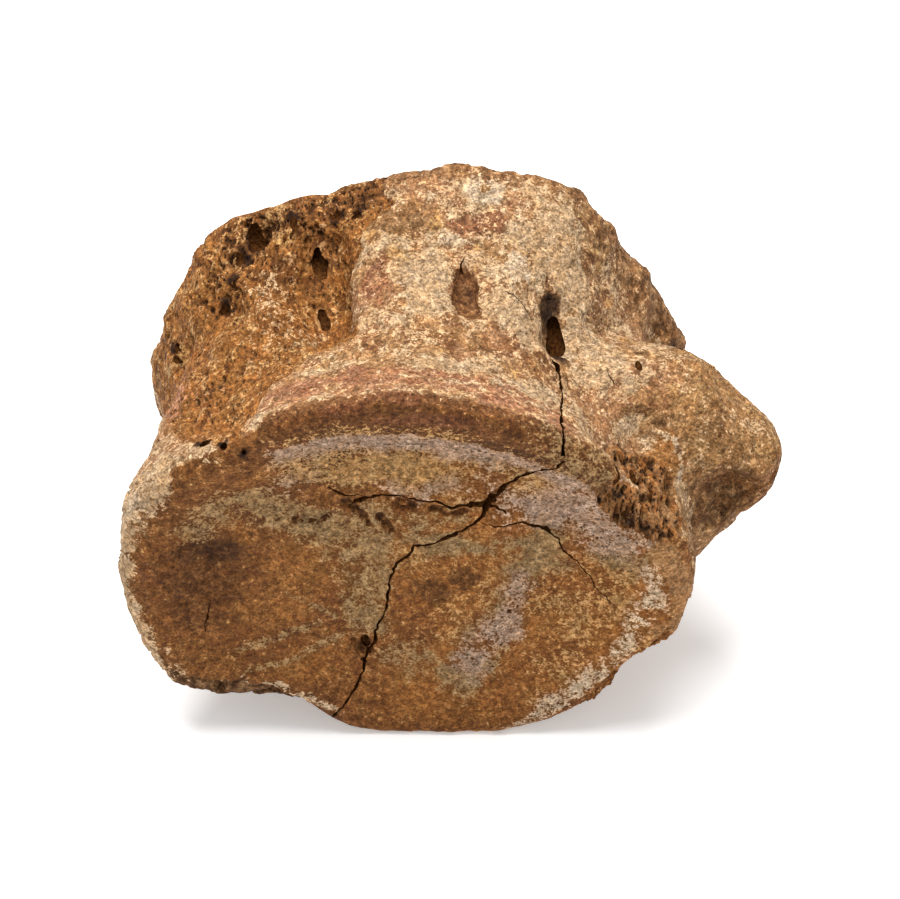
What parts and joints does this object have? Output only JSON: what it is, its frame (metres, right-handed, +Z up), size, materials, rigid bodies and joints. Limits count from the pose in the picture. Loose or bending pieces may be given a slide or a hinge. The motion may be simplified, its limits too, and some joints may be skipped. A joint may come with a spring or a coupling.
{
  "type": "fossil plesiosaur vertebra",
  "caption": "Worn fossil backbone element: a spool-shaped body with dished end faces, a stub of one side process and spongy inside laid open where the other broke off.",
  "frame": {"origin": "middle of the bounding box at the bottom, on the surface that the fossil rests on", "axes": "+X across the body towards the transverse process that is left, +Y from the front articular face to the rear one, +Z up"},
  "size_m": [0.1222, 0.0652, 0.0878],
  "materials": {
    "fossil_bone": "matt"
  },
  "bodies": {
    "root": {"vertebra": "fossil_bone"}
  },
  "joints": []
}
